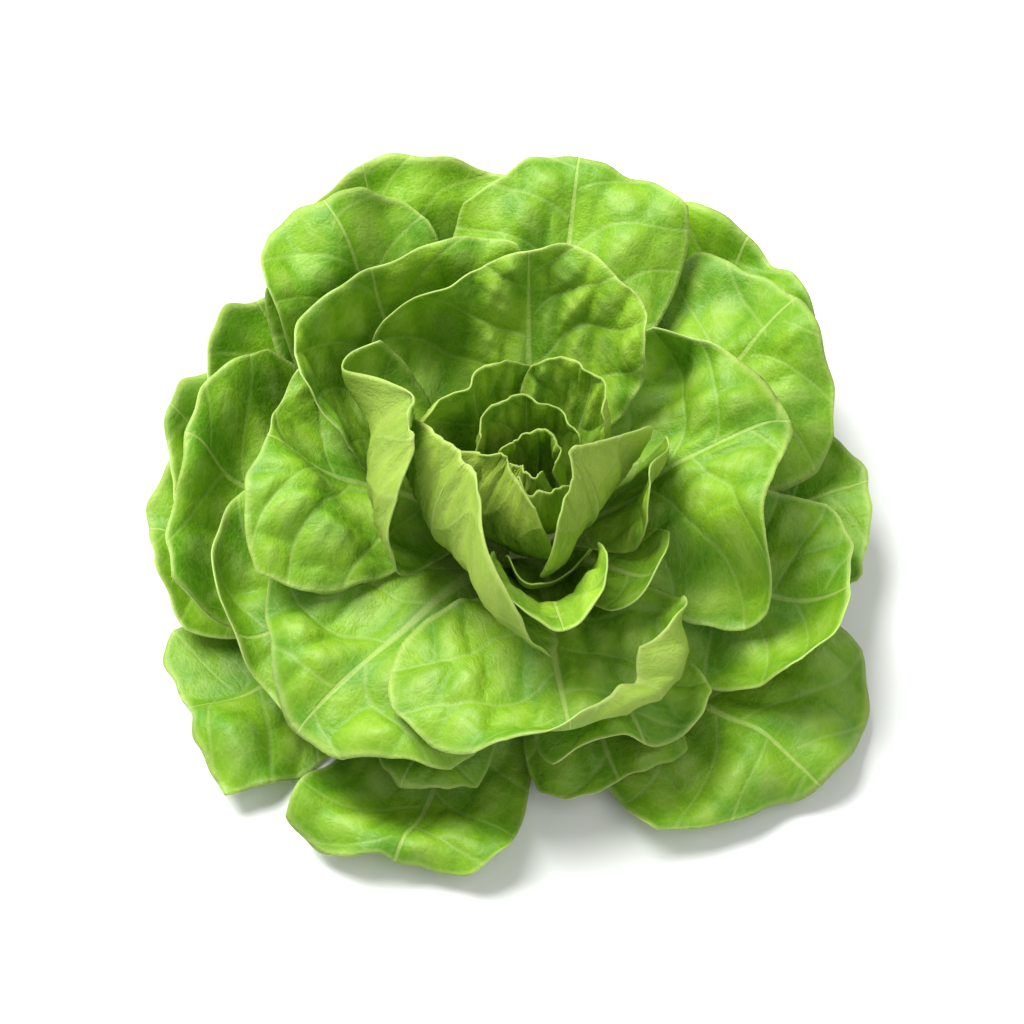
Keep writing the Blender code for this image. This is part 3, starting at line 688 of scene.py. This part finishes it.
def leaf_skin(name, old, young, vein, foot, shade, gloss, see_through, relief):
    """A leaf face. old, young: the tissue of outer and heart leaves. The vein colour paints the veins,
    the pale band at the rim and the painted highlight on the blisters. foot: the pale base. shade:
    the painted shade in the valleys, and the darker patches. gloss: roughness. see_through: share
    of the light that goes through. relief: height of the veins, less than zero if sunken."""
    material = new_material(name)
    tree = material.node_tree
    sheet = add_node(tree, "ShaderNodeUVMap", {"uv_map": "sheet"})
    along = add_node(tree, "ShaderNodeAttribute", {"attribute_name": "along"})
    edge = add_node(tree, "ShaderNodeAttribute", {"attribute_name": "edge"})
    tissue = leaf_tissue(tree, sheet, old, young, shade, vein)
    lines = leaf_veins(tree, sheet)

    # Colour: tissue, veins, pale foot, pale band at the rim
    paler = add_node(tree, "ShaderNodeMath", {"operation": "MULTIPLY"}, i0=(lines, 0), i1=0.5)
    colour = add_node(tree, "ShaderNodeMix", COLOUR_MIX, i0=(paler, 0), i6=(tissue, 2), i7=linear(vein))
    pale_foot = add_node(
        tree, "ShaderNodeMapRange", SMOOTH,
        Value=(along, 2), From_Min=0.02, From_Max=0.3, To_Min=0.85, To_Max=0.0,
    )
    colour = add_node(tree, "ShaderNodeMix", COLOUR_MIX, i0=(pale_foot, 0), i6=(colour, 2), i7=linear(foot))
    pale_rim = add_node(
        tree, "ShaderNodeMapRange", SMOOTH,
        Value=(edge, 2), From_Min=0.93, From_Max=1.0, To_Min=0.0, To_Max=0.4,
    )
    colour = add_node(tree, "ShaderNodeMix", COLOUR_MIX, i0=(pale_rim, 0), i6=(colour, 2), i7=linear(vein))

    # Relief: the crinkle of the skin, the grain of the wax, and the veins
    crinkle = add_node(
        tree, "ShaderNodeTexNoise", FLAT, Vector=(sheet, 0), Scale=repeats(CRINKLE_SIZE), Detail=2.0
    )
    soft = add_node(
        tree, "ShaderNodeBump", {}, Strength=0.5, Distance=CRINKLE_DEPTH * MM, Height=(crinkle, 0)
    )
    grain = add_node(
        tree, "ShaderNodeTexNoise", FLAT, Vector=(sheet, 0), Scale=repeats(GRAIN_SIZE), Detail=2.0
    )
    fine = add_node(
        tree, "ShaderNodeBump", {},
        Strength=0.5, Distance=GRAIN_DEPTH * MM, Height=(grain, 0), Normal=(soft, 0),
    )
    raised = add_node(
        tree, "ShaderNodeBump", {"invert": relief < 0.0},
        Strength=0.9, Distance=abs(relief) * MM, Height=(lines, 0), Normal=(fine, 0),
    )
    skin = add_node(
        tree, "ShaderNodeBsdfPrincipled", {},
        Base_Color=(colour, 2), Roughness=gloss, IOR=1.42, Normal=(raised, 0),
    )
    through = add_node(tree, "ShaderNodeBsdfTranslucent", {}, Color=(colour, 2), Normal=(raised, 0))
    leaf = add_node(tree, "ShaderNodeMixShader", {}, i0=see_through, i1=(skin, 0), i2=(through, 0))
    add_node(tree, "ShaderNodeOutputMaterial", {}, Surface=(leaf, 0))
    return material


# The vein colour also paints the highlight on the blisters, and the shade colour the painted shade in their
# valleys
UPPER = leaf_skin(
    "leaf_upper_face",
    old="#82b01e", young="#9cc034", vein="#d0de86", foot="#cad68a", shade="#41860a",
    gloss=0.49, see_through=0.40, relief=-0.3,
)
UNDER = leaf_skin(
    "leaf_underside",
    old="#9cbc46", young="#acc448", vein="#c8d680", foot="#cddc92", shade="#82a634",
    gloss=0.54, see_through=0.40, relief=0.3,
)
print("leaf skins:", UPPER.name, UNDER.name)

# %% [markdown]
# The rim of a leaf is its thinnest part. It has little green in it, so it shows as a pale
# line round every leaf. The skin could run on over the edge, but its veins would be drawn
# out there, so the narrow faces of the edge get a material of their own.

# %% Leaf rim
RIM = new_material("leaf_rim")
tree = RIM.node_tree
youth = add_node(tree, "ShaderNodeAttribute", {"attribute_name": "youth"})
rim_colour = add_node(
    tree, "ShaderNodeMix", COLOUR_MIX, i0=(youth, 2), i6=linear("#b9cf78"), i7=linear("#9db556")
)
rim_skin = add_node(
    tree, "ShaderNodeBsdfPrincipled", {}, Base_Color=(rim_colour, 2), Roughness=0.5, IOR=1.42
)
rim_through = add_node(tree, "ShaderNodeBsdfTranslucent", {}, Color=(rim_colour, 2))
rim = add_node(tree, "ShaderNodeMixShader", {}, i0=0.4, i1=(rim_skin, 0), i2=(rim_through, 0))
add_node(tree, "ShaderNodeOutputMaterial", {}, Surface=(rim, 0))
print("rim nodes:", len(tree.nodes))

# %% [markdown]
# ## The leaves
#
# Each leaf starts as a flat grid. Its points move to their places, and a Solidify modifier
# makes the sheet a closed blade, half a millimetre thick and thicker along the midrib. Two
# sheets with a bridged rim would do too, but Solidify keeps one sheet to edit. It also gives
# the inner side, the outer side and the rim their own materials. The sheet keeps its own
# millimetres as a UV map, so the net of veins follows the leaf.

# %% Make the leaves
RIM_THICKNESS = 0.5
OLD_FROM_RANK = 22.0  # counted from the heart; leaves further out are fully green
CELLS = {"heart_leaf": (50, 54), "inner_leaf": (84, 92), "outer_leaf": (64, 64)}


def write_numbers(mesh, name, values):
    """Gives every point of a mesh a number, for its materials to read."""
    layer = mesh.attributes.new(name, "FLOAT", "POINT")
    layer.data.foreach_set("value", np.asarray(values, dtype=np.float32))


def bent_sheet(name, leaf, rank, cells_along, cells_across):
    """The inner face of a leaf as a mesh, with its sheet coordinates, and its thickness."""
    sheet = bmesh.new()
    bmesh.ops.create_grid(sheet, x_segments=cells_across, y_segments=cells_along, size=1.0)
    square = np.array([vertex.co[:2] for vertex in sheet.verts])
    points, numbers = leaf_points(leaf, rank, PUSHES[rank], square[:, 0], square[:, 1])
    sideways, flat = numbers["sideways"], numbers["flat"]
    for vertex, point in zip(sheet.verts, points):
        vertex.co = point
    uv = sheet.loops.layers.uv.new("sheet")
    for face in sheet.faces:
        for loop in face.loops:
            i = loop.vert.index
            loop[uv].uv = (sideways[i] / SHEET_UNIT + leaf.shape, flat[i] / SHEET_UNIT)
    mesh = bpy.data.meshes.new(name)
    sheet.to_mesh(mesh)
    sheet.free()
    mesh.shade_smooth()
    write_numbers(mesh, "side_vein", vein_place(leaf, sideways, flat)[1])
    write_numbers(mesh, "from_midrib", np.abs(sideways))
    for number in ("along", "edge", "swell"):
        write_numbers(mesh, number, numbers[number])
    write_numbers(mesh, "youth", np.full(len(square), 1.0 - smooth_step(rank / OLD_FROM_RANK)))
    for material in (UNDER, UPPER, RIM):
        mesh.materials.append(material)
    return mesh, RIM_THICKNESS + rib(leaf, numbers["across"], numbers["along"])


def grow_leaf(name, group, leaf, rank):
    """One leaf: the bent sheet, thickened outwards, in the place of its plain blade."""
    mesh, thickness = bent_sheet(name + "_blade", leaf, rank, *CELLS[group])
    blade = bpy.data.objects.new(name + "_blade", mesh)
    bpy.context.scene.collection.objects.link(blade)
    thickest = RIM_THICKNESS + RIB_THICKNESS
    weights = blade.vertex_groups.new(name="thickness")
    for i, share in enumerate(thickness / thickest):
        weights.add([i], float(share), "REPLACE")
    solid = blade.modifiers.new("Thickness", "SOLIDIFY")
    solid.thickness = thickest * MM
    solid.offset = 1.0
    solid.vertex_group = weights.name
    solid.material_offset = 1
    solid.material_offset_rim = 2
    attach(blade, "root")
    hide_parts(name)
    return blade


rank = 0
for group, leaves in LEAVES.items():
    for number, leaf in enumerate(leaves, start=1):
        grow_leaf(f"{group}_{number:02d}", group, leaf, rank)
        rank += 1
    print("grew", len(leaves), group)

# %% [markdown]
# ## The stem
#
# The stem is the stump that the head was cut from the ground with. It shows only from low
# down and from below: pale flesh with upright fibres, and a flat cut face that has gone a
# little brown. It could be turned again as a finer piece, but the plain model's solid already
# has this shape, so it stays and gets its own finish.

# %% Stem flesh
FIBRE_SCALE = 700.0  # in a metre, so a fibre is 1.4 mm wide
BROWNED_HEIGHT = 3.0  # of the flesh above the cut face
STEM = new_material("stem_flesh")
tree = STEM.node_tree
place = add_node(tree, "ShaderNodeTexCoord")
# Fibres, drawn out upwards
upright = add_node(tree, "ShaderNodeMapping", {}, Vector=(place, 3), Scale=(1.0, 1.0, 0.15))
fibre = add_node(tree, "ShaderNodeTexNoise", {}, Vector=(upright, 0), Scale=FIBRE_SCALE, Detail=3.0)
fibres = add_node(
    tree, "ShaderNodeMix", COLOUR_MIX, i0=(fibre, 0), i6=linear("#c9d49a"), i7=linear("#e4e6c6")
)
# The cut face and the flesh just above it have browned
height = add_node(tree, "ShaderNodeSeparateXYZ", {}, Vector=(place, 3))
browned = add_node(
    tree, "ShaderNodeMapRange", SMOOTH,
    Value=(height, 2), From_Min=0.0, From_Max=BROWNED_HEIGHT * MM, To_Min=0.55, To_Max=0.0,
)
stem_colour = add_node(
    tree, "ShaderNodeMix", COLOUR_MIX, i0=(browned, 0), i6=(fibres, 2), i7=linear("#b08a58")
)
rough = add_node(tree, "ShaderNodeBump", {}, Strength=0.5, Distance=0.0004, Height=(fibre, 0))
flesh = add_node(
    tree, "ShaderNodeBsdfPrincipled", {},
    Base_Color=(stem_colour, 2), Roughness=0.55, IOR=1.4, Normal=(rough, 0),
)
add_node(tree, "ShaderNodeOutputMaterial", {}, Surface=(flesh, 0))
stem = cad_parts["stem"]
for slot in stem.material_slots:
    slot.material = STEM
print("stem slots:", len(stem.material_slots))

# %% [markdown]
# ## Table, light and camera
#
# A product photograph on white has a large soft light above and a little behind, white
# walls that fill the shadows, and a white table. A curved backdrop would hide the far edge
# of a table, but no edge is in the picture, so one large flat sheet will do.

# %% White table
table = bmesh.new()
bmesh.ops.create_grid(table, x_segments=1, y_segments=1, size=6.0)
table_mesh = bpy.data.meshes.new("table")
table.to_mesh(table_mesh)
table.free()
floor = bpy.data.objects.new("table", table_mesh)
bpy.context.scene.collection.objects.link(floor)
WHITE = new_material("white_laminate")
tree = WHITE.node_tree
laminate = add_node(tree, "ShaderNodeBsdfPrincipled", {}, Base_Color=linear("#e0e2e0"), Roughness=0.7)
add_node(tree, "ShaderNodeOutputMaterial", {}, Surface=(laminate, 0))
table_mesh.materials.append(WHITE)
print("table:", [round(side, 1) for side in floor.dimensions], "metres")

# %% [markdown]
# Two disc lights stand for a studio's soft boxes. The key hangs above the head, a little
# behind it and to the left, and a weak one in front on the right. Sun lamps would give hard
# shadows. An even white world does what white walls do. The Standard view shows the greens
# as they are lit, where the default view would grey them.

# %% Soft light
def soft_light(name, place, size, watts, aim=Vector((0.0, 0.0, 0.04))):
    """A disc light of a size in metres, turned to its aim."""
    lamp = bpy.data.lights.new(name, "AREA")
    lamp.shape = "DISK"
    lamp.size = size
    lamp.energy = watts
    light = bpy.data.objects.new(name, lamp)
    light.location = place
    light.rotation_euler = (aim - Vector(place)).to_track_quat("-Z", "Y").to_euler()
    bpy.context.scene.collection.objects.link(light)
    return light


soft_light("key", (-0.46, 0.38, 1.12), 0.85, 38.0)
soft_light("fill", (0.6, -0.6, 1.2), 1.2, 7.0)
world = bpy.data.worlds.new("white_room")
world.use_nodes = True
world.node_tree.nodes["Background"].inputs["Color"].default_value = linear("#ffffff")
world.node_tree.nodes["Background"].inputs["Strength"].default_value = 0.5
bpy.context.scene.world = world
bpy.context.scene.view_settings.view_transform = "Standard"

# %% [markdown]
# The camera looks down from 60 degrees above the table. A short lens close by would swell
# the heart, so a long lens a little over a metre away keeps the leaves in proportion.

# %% Camera
CAMERA_AIM = Vector((-0.00526, 0.02193, 0.01266))
CAMERA_DISTANCE = 1.1
CAMERA_ELEVATION = math.radians(60.0)
camera_data = bpy.data.cameras.new("camera")
camera_data.lens = 117.6
camera_data.sensor_width = 36.0
camera = bpy.data.objects.new("camera", camera_data)
camera.location = CAMERA_AIM + CAMERA_DISTANCE * Vector(
    (0.0, -math.cos(CAMERA_ELEVATION), math.sin(CAMERA_ELEVATION))
)
camera.rotation_euler = (math.pi / 2.0 - CAMERA_ELEVATION, 0.0, 0.0)
bpy.context.scene.collection.objects.link(camera)
bpy.context.scene.camera = camera
print("camera at", [round(v, 3) for v in camera.location])
